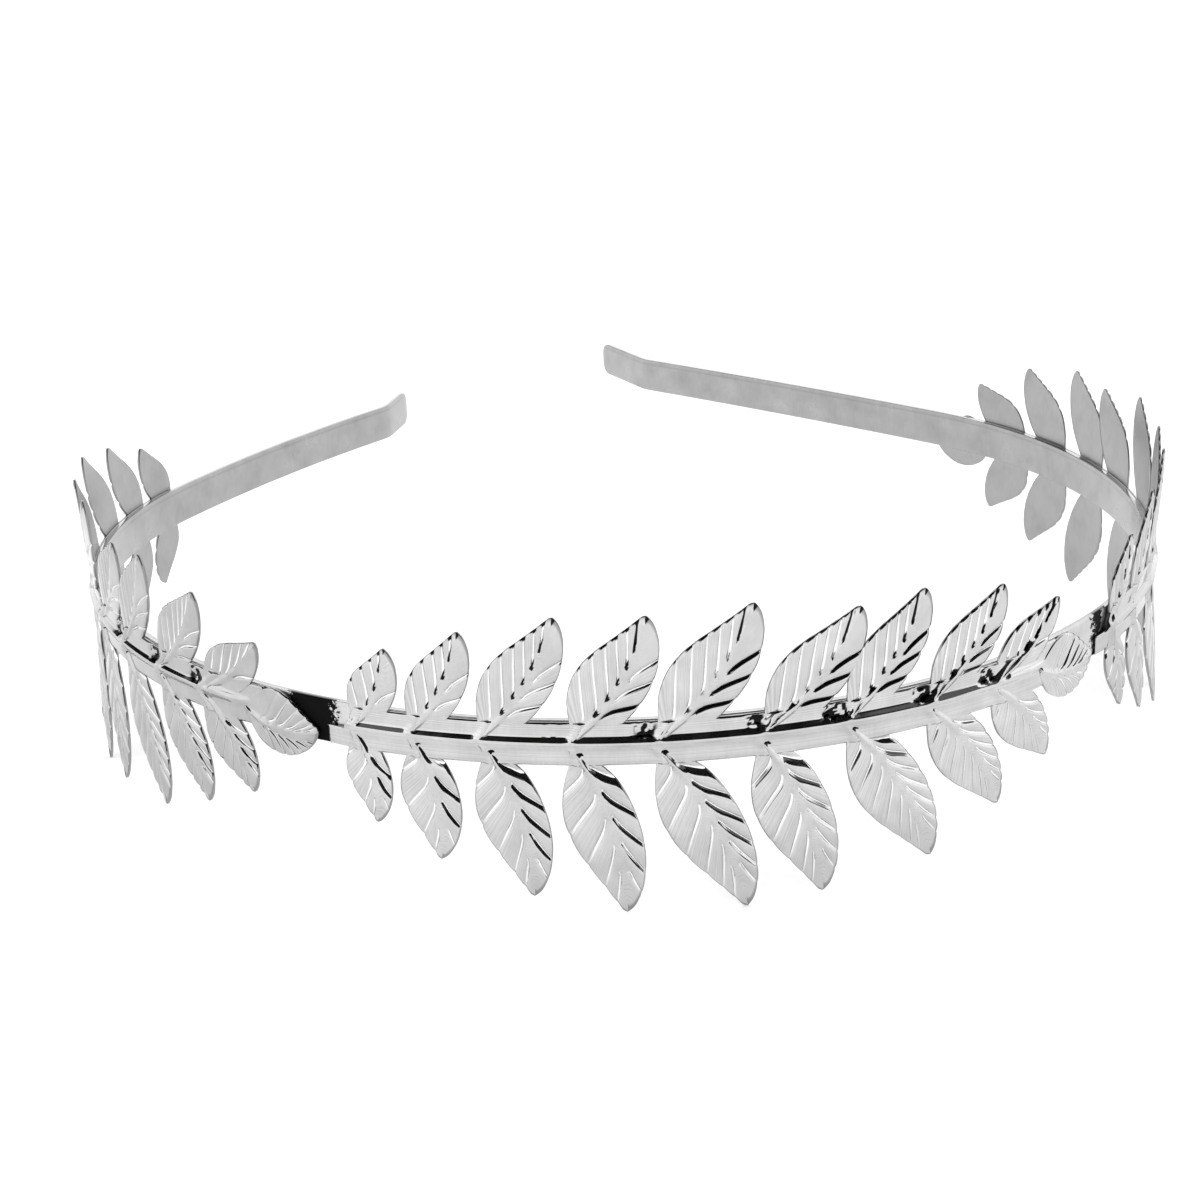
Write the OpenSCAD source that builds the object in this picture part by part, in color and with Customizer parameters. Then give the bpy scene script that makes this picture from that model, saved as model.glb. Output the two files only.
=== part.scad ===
/* [Strip] */
// Height of the flat strip that carries the sprigs
strip_width = 6; // [4:0.5:9]
// Thickness of the flat strip
strip_thickness = 0.9; // [0.6:0.1:1.4]

/* [Bend seen from above] */
// Radius across the front
front_radius = 83; // [72:1:110]
// Length of the front bend left of the middle
front_left_length = 106; // [70:1:115]
// Length of the front bend right of the middle
front_right_length = 29; // [10:1:60]
// Radius of the left side
left_side_radius = 59; // [50:1:90]
// Length of the left side bend
left_side_length = 47; // [30:1:70]
// Radius of the right side
right_side_radius = 74.5; // [65:0.5:95]
// Length of the right side bend
right_side_length = 152; // [110:1:165]
// Radius of the left tail, which is almost straight
left_tail_radius = 240; // [150:10:1500]
// Length of the left tail up to its flared tip
left_tail_length = 51; // [20:1:60]
// Radius of the right tail, which is almost straight
right_tail_radius = 1000; // [150:10:1500]
// Length of the right tail up to its flared tip
right_tail_length = 65; // [20:1:70]

/* [Flared tips] */
// Length of the left tip that turns outwards
left_tip_length = 12; // [10:0.5:20]
// Angle by which the left tip turns outwards
left_tip_turn = 27; // [10:1:30]
// Length of the right tip that turns outwards
right_tip_length = 17.5; // [10:0.5:20]
// Angle by which the right tip turns outwards
right_tip_turn = 22; // [10:1:30]
// Radius of the outward turn
tip_radius = 7; // [6:1:14]
// Radius of the rounded corners
tip_corner = 2; // [1:0.1:2.5]

/* [Sprigs] */
// Length of one sprig from its stalk to the tip of its end leaf
sprig_length = 110.5; // [100:0.5:116]
// Gap along the strip from one sprig to the next
sprig_gap = 1.6; // [0.8:0.1:4]
// Where the front sprig starts, left of the middle of the front
sprig_start = 41.8; // [36:0.1:50]
// Play between the back of a sprig and the strip
seat_gap = 0.08; // [0.05:0.01:0.2]

/* [Stem] */
// Height of the stem with its two flanges
stem_width = 5.8; // [4.5:0.1:9]
// Thickness of the flanges
flange_thickness = 0.55; // [0.4:0.05:1.2]
// Width of the rounded ridge along the stem
ridge_width = 2; // [1.2:0.1:3]
// Height of the ridge above the flanges
ridge_height = 0.9; // [0.4:0.1:1.6]
// Length of the narrow stalk at the start
stalk_length = 4.5; // [3:0.5:6]
// Height of the stalk
stalk_width = 2.6; // [2.1:0.1:4]
// Width of the raised vein from the ridge to a leaf
vein_width = 1.3; // [0.8:0.1:2]
// Height of the raised vein above the flange
vein_height = 0.4; // [0.2:0.05:0.8]

/* [Leaves] */
// Height of the tallest upper tip above the middle of the strip
leaf_rise = 18; // [14:0.5:24]
// Depth of the lowest tip below the middle of the strip
leaf_drop = 23; // [18:0.5:30]
// Width of the widest leaf as a share of the spacing of the leaves
leaf_fullness = 0.79; // [0.6:0.01:0.85]
// Thickness of a leaf in its creases
leaf_thickness = 0.5; // [0.4:0.05:1]
// Height of a leaf's swellings above its creases
crease_depth = 0.45; // [0.2:0.05:0.8]
// Height of a leaf's middle above its creases
leaf_crown = 0.3; // [0.1:0.05:0.6]
// Angle at which the leaves lean out of the strip's face
leaf_flare = 4; // [0:0.5:8]

/* [Hidden] */
$fa = 1;
$fs = 0.4;
turn = 180 / PI;

// Points in each ring around a leaf and around the stem, and the distance between the
// stem's rings
leaf_ring = 5;
stem_ring = 8;
stem_facet_length = 4;

// Columns: upper root, upper tip, upper rise, upper width, lower root, lower tip, lower drop,
// lower width, creases. Roots and tips are shares of the sprig's length; rises, drops and
// widths are shares of the largest one.
leaf_pairs = [
    [0.035, 0.085, 0.65, 0.66, 0.036, 0.061, 0.55, 0.64, 3],
    [0.106, 0.176, 0.83, 0.74, 0.111, 0.139, 0.72, 0.80, 4],
    [0.188, 0.284, 0.96, 0.86, 0.196, 0.247, 0.90, 0.89, 5],
    [0.294, 0.385, 0.96, 0.94, 0.296, 0.351, 0.99, 0.92, 5],
    [0.390, 0.503, 1.00, 0.98, 0.388, 0.486, 1.00, 0.95, 5],
    [0.508, 0.625, 0.87, 0.94, 0.505, 0.574, 0.97, 0.96, 5],
    [0.608, 0.705, 0.91, 0.87, 0.607, 0.710, 0.90, 0.93, 5],
    [0.713, 0.817, 0.78, 0.85, 0.710, 0.810, 0.72, 0.86, 5],
    [0.805, 0.917, 0.51, 0.74, 0.804, 0.895, 0.55, 0.80, 4]
];
// The end leaf lies along the strip: root, drop of its tip, width and creases
end_leaf = [0.884, 0.07, 0.93, 5];
leaf_width = leaf_fullness * sprig_length / len(leaf_pairs);

// Half outline of a leaf: share of its length, then rear edge, middle and front edge
// as shares of its width, measured from the straight line between root and tip.
leaf_outline = [
    [0.00, -0.04, 0.02, 0.07],
    [0.08, -0.07, 0.06, 0.18],
    [0.16, -0.19, 0.11, 0.33],
    [0.26, -0.33, 0.16, 0.47],
    [0.40, -0.42, 0.19, 0.55],
    [0.52, -0.41, 0.20, 0.57],
    [0.64, -0.34, 0.19, 0.55],
    [0.76, -0.23, 0.15, 0.48],
    [0.88, -0.12, 0.09, 0.35],
    [0.95, -0.06, 0.06, 0.22],
    [1.00, -0.01, 0.02, 0.05]
];
// Where the blade starts and where the first and the last crease leave the middle of a leaf
blade_start = 0.06;
first_crease = 0.14;
last_crease = 0.74;
// Where the last swelling runs out into the smooth tip, and how high it still is there
tip_swelling = [0.86, 0.6];
// How strongly the creases sweep forward towards the tip
crease_sweep = 1.7;
// How far the vein runs into a leaf
vein_reach = 0.24;

// Length and turn of the flat facets that the strip's bends are made of, and the steps
// around its rounded corners
facet_length = 2.5;
facet_turn = 3;
corner_steps = 48;
// Radius that stands for a straight run
straight = 100000;
right_turn_length = right_tip_turn / turn * tip_radius;
left_turn_length = left_tip_turn / turn * tip_radius;

// The strip is a chain of tangent bends: each row is a length and a radius, which is
// negative where the bend turns outwards
right_bends = [
    [front_right_length, front_radius],
    [right_side_length, right_side_radius],
    [right_tail_length, right_tail_radius],
    [right_turn_length, -tip_radius],
    [right_tip_length - right_turn_length, straight]
];
left_bends = [
    [front_left_length, front_radius],
    [left_side_length, left_side_radius],
    [left_tail_length, left_tail_radius],
    [left_turn_length, -tip_radius],
    [left_tip_length - left_turn_length, straight]
];

// A pose is x, y and heading; a bend leads from one pose to the next
function after_bend(pose, bend) =
    let (swing = bend[0] / bend[1] * turn, end = pose[2] + swing)
    [
        pose[0] + bend[1] * (sin(end) - sin(pose[2])),
        pose[1] + bend[1] * (cos(pose[2]) - cos(end)),
        end
    ];
function pose_before(bends, i) = i == 0 ? [0, 0, 0] : after_bend(pose_before(bends, i - 1), bends[i - 1]);
function length_before(bends, i) = i == 0 ? 0 : length_before(bends, i - 1) + bends[i - 1][0];

right_poses = [for (i = [0:len(right_bends) - 1]) pose_before(right_bends, i)];
left_poses = [for (i = [0:len(left_bends) - 1]) pose_before(left_bends, i)];
right_stops = [for (i = [0:len(right_bends) - 1]) length_before(right_bends, i)];
left_stops = [for (i = [0:len(left_bends) - 1]) length_before(left_bends, i)];

function pose_at(bends, poses, stops, along) =
    let (i = max([for (k = [0:len(stops) - 1]) if (k == 0 || along >= stops[k]) k]))
    after_bend(poses[i], [along - stops[i], bends[i][1]]);

// A point at a length along the strip from the middle of the front, at a height
// above the strip's middle and at a depth out of the strip's middle surface
function on_strip(along, high, out) =
    let (
        left = along < 0,
        pose = left
            ? pose_at(left_bends, left_poses, left_stops, -along)
            : pose_at(right_bends, right_poses, right_stops, along),
        x = pose[0] + out * sin(pose[2])
    )
    [left ? -x : x, pose[1] - out * cos(pose[2]), high];
function heading_at(along) = along < 0
    ? -pose_at(left_bends, left_poses, left_stops, -along)[2]
    : pose_at(right_bends, right_poses, right_stops, along)[2];

// The stem's back lies just off the strip; the leaves' backs lie a little further out
// and lean out past the strip's edges
seat = strip_thickness / 2 + seat_gap;
leaf_offset = 0.12;
function back_at(high) = seat + leaf_offset + tan(leaf_flare) * max(0, abs(high) - strip_width / 2);

// Leaf outline at any share of the length, for column 1, 2 or 3
function outline_at(share, column) = lookup(share, [for (row = leaf_outline) [row[0], row[column]]]);
function swept(share) =
    let (reach = 1 - blade_start)
    1 - reach * pow((1 - share) / reach, crease_sweep);

// Shares along the middle of a leaf: swellings and creases take turns, then the smooth tip.
// The second number is 1 on a swelling and 0 in a crease.
function leaf_rows(creases) =
    let (step = (last_crease - first_crease) / (creases - 1))
    concat(
        [[blade_start, 0]],
        [for (i = [0:creases - 1], half = [0, 1])
            if (i < creases - 1 || half == 0) [first_crease + (i + half / 2) * step, half]],
        [tip_swelling, [1, 0]]
    );

// Points of one leaf between two spots given as [along, high], five to a row: rear edge,
// middle and front edge of the face, then front and rear edge of the back.
// Side is 1 for a leaf above the stem and -1 for one below it.
function leaf_points(root, tip, wide, creases, side) =
    let (
        long = norm(tip - root),
        ahead = (tip - root) / long,
        front = side * [ahead[1], -ahead[0]]
    )
    [
        for (row = leaf_rows(creases))
        let (
            edge = swept(row[0]),
            rear_spot = root + ahead * edge * long + front * outline_at(edge, 1) * wide,
            middle_spot = root + ahead * row[0] * long + front * outline_at(row[0], 2) * wide,
            front_spot = root + ahead * edge * long + front * outline_at(edge, 3) * wide,
            swell = leaf_thickness + crease_depth * row[1],
            crest = leaf_thickness + leaf_crown + crease_depth * row[1] / 2
        )
        each [
            lifted(rear_spot, swell),
            lifted(middle_spot, crest),
            lifted(front_spot, swell),
            lifted(front_spot, 0),
            lifted(rear_spot, 0)
        ]
    ];
function lifted(spot, lift) = on_strip(spot[0], spot[1], back_at(spot[1]) + lift);

// Faces of a solid whose points come in equal rings
function ring_faces(points, ring) =
    let (last = len(points) - ring)
    concat(
        [
            for (start = [0:ring:last - ring], k = [0:ring - 1])
            let (a = start + k, b = start + (k + 1) % ring)
            each [[a, b, b + ring], [a, b + ring, a + ring]]
        ],
        [[for (k = [ring - 1:-1:0]) k], [for (k = [0:ring - 1]) last + k]]
    );
function turned(faces) = [for (face = faces) [for (k = [len(face) - 1:-1:0]) face[k]]];

// Every leaf of a sprig: root, tip, width, creases and side
function sprig_leaves(start) = concat(
    [
        for (pair = leaf_pairs)
        each [
            [
                [start + pair[0] * sprig_length, 0],
                [start + pair[1] * sprig_length, pair[2] * leaf_rise],
                pair[3] * leaf_width,
                pair[8],
                1
            ],
            [
                [start + pair[4] * sprig_length, 0],
                [start + pair[5] * sprig_length, -pair[6] * leaf_drop],
                pair[7] * leaf_width,
                pair[8],
                -1
            ]
        ]
    ],
    [[
        [start + end_leaf[0] * sprig_length, 0],
        [start + sprig_length, -end_leaf[1] * leaf_drop],
        end_leaf[2] * leaf_width,
        end_leaf[3],
        1
    ]]
);

module leaf(form) {
    points = leaf_points(form[0], form[1], form[2], form[3], form[4]);
    faces = ring_faces(points, leaf_ring);
    polyhedron(points, form[4] > 0 ? turned(faces) : faces);
}

// The raised vein that joins a leaf to the ridge
module vein(root, tip, wide, side) {
    ahead = tip - root;
    front = side * [ahead[1], -ahead[0]] / norm(ahead);
    spot = root + ahead * vein_reach + front * outline_at(vein_reach, 2) * wide;
    hull() {
        vein_block(root, vein_width, seat + flange_thickness, vein_height);
        vein_block(spot, vein_width / 2, back_at(spot[1]) + leaf_thickness, leaf_crown);
    }
}

// A small block that rises from half the metal's depth below a surface to a height above it
module vein_block(spot, size, surface, rise) {
    depth = leaf_thickness / 2;
    translate(on_strip(spot[0], spot[1], surface + rise))
        rotate([0, 0, heading_at(spot[0])])
            translate([-size / 2, 0, -size / 2])
                cube([size, rise + depth, size]);
}

// Outline of the stem across its length, lower edge first, as [high, out]
function stem_section(top) = [
    [-stem_width / 2, 0],
    [-stem_width / 2, flange_thickness],
    [-ridge_width / 2, flange_thickness],
    [-ridge_width / 4, flange_thickness + ridge_height],
    [ridge_width / 4, flange_thickness + ridge_height],
    [ridge_width / 2, flange_thickness],
    [top, flange_thickness],
    [top, 0]
];

module stem(start) {
    long = end_leaf[0] * sprig_length + stem_facet_length;
    spans = ceil((long - stalk_length) / stem_facet_length);
    stalk_top = stalk_width - stem_width / 2;
    stops = concat(
        [[0, stalk_top], [stalk_length / 2, stalk_top]],
        [for (i = [0:spans]) [stalk_length + (long - stalk_length) * i / spans, stem_width / 2]]
    );
    points = [
        for (stop = stops)
        for (p = stem_section(stop[1]))
        on_strip(start + stop[0], p[0], seat + p[1])
    ];
    polyhedron(points, ring_faces(points, stem_ring));
}

module sprig(start) {
    leaves = sprig_leaves(start);
    color("silver") union() {
        stem(start);
        for (form = leaves)
            leaf(form);
        for (i = [0:len(leaves) - 2])
            vein(leaves[i][0], leaves[i][1], leaves[i][2], leaves[i][4]);
    }
}

// Stops along one side of the strip at which its facets meet
function facet_stops(bends, stops) = [
    for (i = [0:len(bends) - 1])
    let (
        swing = abs(bends[i][0] / bends[i][1]) * turn,
        count = ceil(max(bends[i][0] / facet_length, swing / facet_turn))
    )
    for (k = [1:count])
    stops[i] + bends[i][0] * k / count
];

// The strip seen from above: its outer face from left to right, then its inner face back
module strip_outline() {
    right = facet_stops(right_bends, right_stops);
    left = facet_stops(left_bends, left_stops);
    alongs = concat([for (k = [len(left) - 1:-1:0]) -left[k]], [0], right);
    outer = [for (along = alongs) on_strip(along, 0, strip_thickness / 2)];
    inner = [for (k = [len(alongs) - 1:-1:0]) on_strip(alongs[k], 0, -strip_thickness / 2)];
    polygon([for (p = concat(outer, inner)) [p[0], p[1]]]);
}

// What comes off the two corners at the end of a tip to round them
module tip_corners(along) {
    inset = strip_width / 2 - tip_corner;
    block = 2 * tip_corner;
    depth = 2 * strip_thickness;
    translate(on_strip(along, 0, 0))
        rotate([0, 0, heading_at(along)])
            mirror([along < 0 ? 1 : 0, 0, 0])
                for (high = [0, 1])
                    mirror([0, 0, high])
                        translate([-tip_corner, 0, inset])
                            rotate([90, 0, 0])
                                difference() {
                                    translate([0, 0, -depth / 2])
                                        cube([block, block, depth]);
                                    cylinder(2 * depth, r = tip_corner, center = true, $fn = corner_steps);
                                }
}

module band() {
    color("gainsboro") centred() difference() {
        translate([0, 0, -strip_width / 2])
            linear_extrude(height = strip_width)
                strip_outline();
        tip_corners(-left_end);
        tip_corners(right_end);
    }
}

// Where the three sprigs start along the strip
front_start = -sprig_start;
sprig_pitch = sprig_length + sprig_gap;
starts = [front_start - sprig_pitch, front_start, front_start + sprig_pitch];

// The outermost points of the crown: those of every leaf and of both ends of the strip
right_end = length_before(right_bends, len(right_bends));
left_end = length_before(left_bends, len(left_bends));
rim = concat(
    [
        for (start = starts, form = sprig_leaves(start))
        each leaf_points(form[0], form[1], form[2], form[3], form[4])
    ],
    [for (end = [-left_end, right_end], out = [-1, 1]) on_strip(end, 0, out * strip_thickness / 2)]
);
low = [for (axis = [0:2]) min([for (p = rim) p[axis]])];
high = [for (axis = [0:2]) max([for (p = rim) p[axis]])];

// Stands the crown on its lowest leaf tips, with the middle of its outline at the origin
module centred() {
    translate([-(low[0] + high[0]) / 2, -(low[1] + high[1]) / 2, -low[2]]) children();
}

module sprig_left() { centred() sprig(starts[0]); }
module sprig_front() { centred() sprig(starts[1]); }
module sprig_right() { centred() sprig(starts[2]); }

band();
sprig_left();
sprig_front();
sprig_right();
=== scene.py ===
import bpy
import bmesh
import math
from mathutils import Matrix, Vector, noise


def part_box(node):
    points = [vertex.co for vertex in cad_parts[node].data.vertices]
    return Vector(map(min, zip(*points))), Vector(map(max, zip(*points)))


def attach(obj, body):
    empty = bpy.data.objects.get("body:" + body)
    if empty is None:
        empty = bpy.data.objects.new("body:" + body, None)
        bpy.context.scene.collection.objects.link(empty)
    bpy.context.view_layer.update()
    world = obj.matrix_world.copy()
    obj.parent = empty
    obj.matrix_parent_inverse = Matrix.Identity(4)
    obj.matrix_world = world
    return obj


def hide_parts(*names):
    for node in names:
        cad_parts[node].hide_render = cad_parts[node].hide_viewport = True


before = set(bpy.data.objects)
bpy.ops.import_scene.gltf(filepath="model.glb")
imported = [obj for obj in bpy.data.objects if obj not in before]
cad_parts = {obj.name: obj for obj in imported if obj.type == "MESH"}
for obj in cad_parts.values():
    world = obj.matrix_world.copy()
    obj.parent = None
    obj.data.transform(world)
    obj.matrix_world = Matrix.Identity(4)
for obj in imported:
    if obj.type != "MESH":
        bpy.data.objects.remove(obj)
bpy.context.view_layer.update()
mm = 0.001
mergeDistance = 0.000001
print("frame loaded")


# lengths and radii in millimetres, as in the part's source
strip = {
    "width": 6.0,
    "thickness": 0.9,
    "tipCorner": 2.0,
    "cornerSegments": 10,
    "edgeRound": 0.12,
    "edgeSegments": 3,
    "supportLine": 0.12,  # narrow band beside each rounded edge that keeps the flats flat
    "cutLength": 1.5,  # distance between the cuts that let the strip bend
    "tipCutLength": 0.4,
    "cutReach": 0.0001,  # a point this near to a cut counts as lying on it
    "frontRadius": 83.0,
    "leftFront": 106.0,
    "rightFront": 29.0,
    "leftSide": (47.0, 59.0),  # length, radius
    "rightSide": (152.0, 74.5),
    "leftTail": (51.0, 240.0),
    "rightTail": (65.0, 1000.0),
    "leftTip": (12.0, 27.0),  # length, outward turn in degrees
    "rightTip": (17.5, 22.0),
    "tipRadius": 7.0,
    "straight": 100000.0,  # radius that stands for a straight run
    "boxSteps": 2000,  # points along the strip that find its box
}


def chainOf(side):
    # each link: where it starts along the strip, x, y, heading and radius
    tipLength, tipTurn = strip[side + "Tip"]
    turnLength = math.radians(tipTurn) * strip["tipRadius"]
    bends = [
        (strip[side + "Front"], strip["frontRadius"]),
        strip[side + "Side"],
        strip[side + "Tail"],
        (turnLength, -strip["tipRadius"]),
        (tipLength - turnLength, strip["straight"]),
    ]
    along, x, y, heading = 0.0, 0.0, 0.0, 0.0
    links = []
    for length, radius in bends:
        links.append((along, x, y, heading, radius))
        end = heading + length / radius
        x += radius * (math.sin(end) - math.sin(heading))
        y += radius * (math.cos(heading) - math.cos(end))
        heading = end
        along += length
    return links, along


rightLinks, rightEnd = chainOf("right")
leftLinks, leftEnd = chainOf("left")


def onStrip(along, high, out):
    # strip coordinates to millimetres from the middle of the strip's front
    links = rightLinks if along >= 0 else leftLinks
    length = abs(along)
    start, x, y, heading, radius = [link for link in links if link[0] <= length][-1]
    end = heading + (length - start) / radius
    x += radius * (math.sin(end) - math.sin(heading)) + out * math.sin(end)
    y += radius * (math.cos(heading) - math.cos(end)) - out * math.cos(end)
    return Vector((x if along >= 0 else -x, y, high))


def stripOrigin():
    # the solid strip's box says where the middle of its front lies
    low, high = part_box("band")
    half, steps = strip["thickness"] / 2, strip["boxSteps"]
    spots = []
    for k in range(steps + 1):
        along = -leftEnd + k * (leftEnd + rightEnd) / steps
        spots += [onStrip(along, 0, -half), onStrip(along, 0, half)]
    lowX = min(spot.x for spot in spots) * mm
    lowY = min(spot.y for spot in spots) * mm
    return Vector((low[0] - lowX, low[1] - lowY, (low[2] + high[2]) / 2))


origin = stripOrigin()


def bendRound(bm, start=0.0):
    # a flat piece lies as the strip would before it is bent: x along, -y out, z up
    for vert in bm.verts:
        vert.co = origin + mm * onStrip(start + vert.co.x, vert.co.z, -vert.co.y)


def finishPiece(name, bm, material, replaced):
    bmesh.ops.remove_doubles(bm, verts=bm.verts, dist=mergeDistance)
    bmesh.ops.recalc_face_normals(bm, faces=bm.faces)
    for face in bm.faces:
        face.smooth = True
    mesh = bpy.data.meshes.new(name)
    bm.to_mesh(mesh)
    bm.free()
    piece = bpy.data.objects.new(name, mesh)
    bpy.context.scene.collection.objects.link(piece)
    mesh.materials.append(material)
    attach(piece, "root")
    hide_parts(replaced)
    print(name, len(mesh.polygons), "faces")


def roundEdges(bm, edges, offset, segments):
    bmesh.ops.bevel(bm, geom=edges, offset=offset, segments=segments, profile=0.5,
                    affect="EDGES", material=-1)


def makeStrip(material):
    bm = bmesh.new()
    length, middle = leftEnd + rightEnd, (rightEnd - leftEnd) / 2
    bmesh.ops.create_cube(bm, size=1)
    bmesh.ops.scale(bm, verts=bm.verts, vec=(length, strip["thickness"], strip["width"]))
    bmesh.ops.translate(bm, verts=bm.verts, vec=(middle, 0, 0))

    def across(edge):
        return abs(edge.verts[0].co.y - edge.verts[1].co.y)

    corners = [edge for edge in bm.edges if across(edge) > strip["thickness"] / 2]
    roundEdges(bm, corners, strip["tipCorner"], strip["cornerSegments"])
    rims = [edge for edge in bm.edges if across(edge) < strip["thickness"] / 2]
    roundEdges(bm, rims, strip["edgeRound"], strip["edgeSegments"])

    def cut(point, normal):
        bmesh.ops.bisect_plane(bm, geom=bm.verts[:] + bm.edges[:] + bm.faces[:],
                               dist=strip["cutReach"], plane_co=point, plane_no=normal)

    rim = strip["width"] / 2 - strip["edgeRound"] - strip["supportLine"]
    for high in (-rim, 0, rim):
        cut((0, 0, high), (0, 0, 1))
    place = -leftEnd + strip["tipCorner"]
    leftTip, rightTip = -leftEnd + strip["leftTip"][0], rightEnd - strip["rightTip"][0]
    while place < rightEnd - strip["tipCorner"]:
        cut((place, 0, 0), (1, 0, 0))
        nearTip = place < leftTip or place > rightTip
        place += strip["tipCutLength"] if nearTip else strip["cutLength"]
    places, outside = (bm.verts.layers.float.new(name) for name in ("stripPlace", "outside"))
    for vert in bm.verts:
        vert[places] = vert.co.x
        vert[outside] = 1.0 if vert.co.y < 0 else 0.0
    bendRound(bm)
    finishPiece("bentStrip", bm, material, "band")


sprig = {
    "length": 110.5,
    "gap": 1.6,
    "start": -41.8,  # the front sprig's stalk, from the middle of the front
    "seat": 0.53,  # from the middle of the strip to the back of a stem
    "sheet": 0.45,  # thickness of the stamped metal
    "paintedDarkStrength": {"left": 0.35, "front": 1.0, "right": 1.0},  # how strongly each sprig's leaves take the painted dark reflections and shade
    "dullAndShaded": {"left": 0.8, "front": 0.0, "right": 0.5},  # painted shade: how far each sprig's flats darken towards the shaded flat colour
}
stem = {
    "width": 5.8,
    "pastEnd": 4.0,  # how far the stem runs below the end leaf
    "flange": 0.55,
    "ridgeWidth": 2.0,
    "ridgeHeight": 0.66,
    "ridgeCrest": 0.32,  # the ridge is steep above its crest and slopes gently below it
    "ridgeSlope": (0.1, 0.5),  # how far that slope reaches past the ridge's foot and its crest
    "stalkLength": 4.5,
    "stalkWidth": 2.6,
    "stalkHeight": 0.45,  # share of the full height at the stalk's end
    "endFade": (6.0, 1.0),  # the ridge runs out between these distances from the end
    "endDrop": 0.15,
    "rows": 340,
    "columns": 24,
    "columnShift": 0.08,  # crowds the columns beside the ridge
    "edgeDrop": 0.12,  # how far the rims of the flanges roll back
    "edgeWidth": 0.3,
    "rimBlend": 0.3,  # how softly a rolled rim ends where a leaf leaves it
    "veinReach": 6.0,
    "veinHalf": 0.42,
    "veinHeight": 0.34,
    "veinShare": 0.9,  # of the ridge's height, where a leaf's vein leaves it
    "veinFoot": (0.3, 1.9),  # the vein sinks to the flange between these heights
    "veinClimb": (0.3, 1.5),
}
dents = {
    # hammered patches before the roots of the upper leaves
    "depth": 0.45,
    "length": 4.4,
    "gap": 0.8,  # how far a patch runs past its leaf's root
    "change": (0.8, 0.2, 2.3),  # mean share of that length, how much it varies and how fast
    "low": (0.4, 0.9),  # they fade in and out between these heights on the stem
    "high": (2.9, 2.5),
    "peak": 0.6,
    "leaves": (2, 5),  # they grow from the third to the sixth leaf
    "size": 0.8,
    "spacing": 9.0,  # keeps the patches from looking alike
    "fine": 2.3,  # how much finer the second layer of the noise is
    # where the noise paints shade into the hammered patches
    "wearAndPaintedDark": (0.25, 0.55),
}
leaf = {
    "rise": 18.0,
    "drop": 23.0,
    "width": 9.7,
    "crown": 0.16,
    "crownReach": (2.9, 9.0),  # the crown along the middle grows between these heights
    "crownWidth": 0.5,
    "crownTip": (0.8, 0.3),  # where it starts to fade and what is left of it at the tip
    "flare": 4.0,  # degrees that the leaves lean outwards
    "offset": 0.12,
    "sink": 0.04,
    "lift": 0.06,  # the sheet rises by this where it leaves the stem
    "liftReach": (2.3, 2.9),
    "clearOfStem": (2.7, 3.5),  # creases and rims fade in between these heights
    "veinFade": (3.2, 6.0),
    "bladeStart": 0.06,
    "upperFront": (0.17, 0.74),  # first and last crease, as shares of a leaf's length
    "upperRear": (0.16, 0.78),
    "lowerCreases": (0.18, 0.78),
    "lowerCounts": (4, 4, 5, 5, 6, 6, 7, 7, 6),
    "lowerRear": (1, 1, 1, 1, 1, 1, 0.8, 0.68, 0.66),  # depth of the lower leaves' rear creases
    "endCreases": (0.10, 0.86),
    "endDepth": 0.8,  # the end leaf's creases are shallower
    "endOverlap": 1.0,  # how much of it still belongs to the stem
    "sweep": 1.7,
    "rearSweep": 1.85,
    "steepSweep": (0.36, 0.33),  # the rear creases of the upper leaves run steeply to the rim
    "steepFade": (-0.05, 0.45),
    "fanEnd": 0.15,  # below this share they fan out from the root
    "bow": 1.2,  # how much the creases curve on their way to the edge
    "grooveDepth": 0.28,
    "rimGroove": 0.65,  # share of that depth left at the rims
    "grooveHalf": {-1: 0.235, 1: 0.205},  # behind and in front of the rib
    "wideGroove": 1.6,  # how much the first front crease of a lower leaf widens
    "firstDepth": 1.3,
    "ribHalf": 0.5,  # half the plain rib along the middle
    "ribEdge": (0.2, 0.6),  # the grooves end between these distances from the middle
    "hook": {-1: 0.8, 1: 1.1},  # how far a rear or front groove runs back along the rib
    "hookReach": 0.42,
    "hookStart": 0.4,
    "hookFade": (0.16, 0.78),
    "scallop": 0.012,
    "scallopLevel": 0.6,
    "pleat": 0.05,
    "pleatStart": 0.3,
    "rearEdgeDrop": 0.15,
    "frontEdgeDrop": 0.1,
    "edgeReach": 0.45,
    "rimWidth": 0.25,
    "rimStart": (2.9, 3.6),
    "footStep": 0.01,  # steps that find where a leaf leaves the stem
    "footSteps": 60,
    "gapStep": 0.02,  # half a step across a leaf, which gives a crease's direction
}
# painted dark reflections and shade in the creases, folds and tips of the upper leaves
darkSpots = {
    "folded": (3, 4, 5, 6, 7),  # upper leaves whose last rear crease is a dark fold
    "ends": (1.0, 1.0, 1.0, 1.0, 0.5, 0.5, 0.9, 0.9, 0.9),  # crease ends of the upper leaves
    "bars": (0, 0, 1, 2, 5, 5, 5, 2, 1),  # how many of their front creases are dark, from the root
    # fades: by the crease's depth, then by the distance from the middle or from the rim
    "endCore": (0.3, 0.7),
    "ribEndNear": (0.15, 0.3),
    "ribEndFar": (0.8, 0.6),
    "rimEnd": (0.3, 0.12),
    "foldCore": (0.6, 0.95),
    "foldStart": (0.2, 0.4),
    "barCore": (0.35, 0.7),
    "barStart": (0.35, 0.6),
    "barEnd": (0.1, 0.25),
    "tip": (0.94, 0.965),  # share of the leaf's length
    "tipTone": 0.9,
}
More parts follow.
